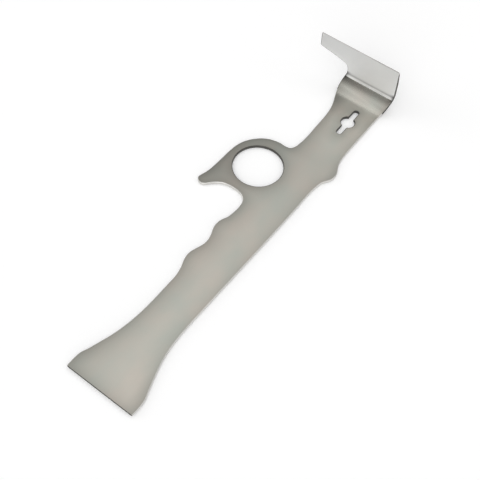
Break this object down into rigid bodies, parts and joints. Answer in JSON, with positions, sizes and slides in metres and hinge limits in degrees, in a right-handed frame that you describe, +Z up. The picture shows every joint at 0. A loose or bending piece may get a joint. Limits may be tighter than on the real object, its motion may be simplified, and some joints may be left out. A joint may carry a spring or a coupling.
{
  "type": "hive tool",
  "caption": "One-piece steel hive tool: ground scraper, finger-scalloped shaft, finger ring with a beak, nail-puller slot and a hook folded up with a side finger.",
  "frame": {"origin": "under the middle of the part's box, on the surface it lies on", "axes": "+Y along the shaft from the scraper to the hook, +Z up from the flat underside, the way the hook rises, +X to the side away from the finger ring"},
  "size_m": [0.0732, 0.28, 0.0372],
  "materials": {
    "stainless_steel": "satin"
  },
  "bodies": {
    "root": {"tool_plate": "stainless_steel"}
  },
  "joints": []
}
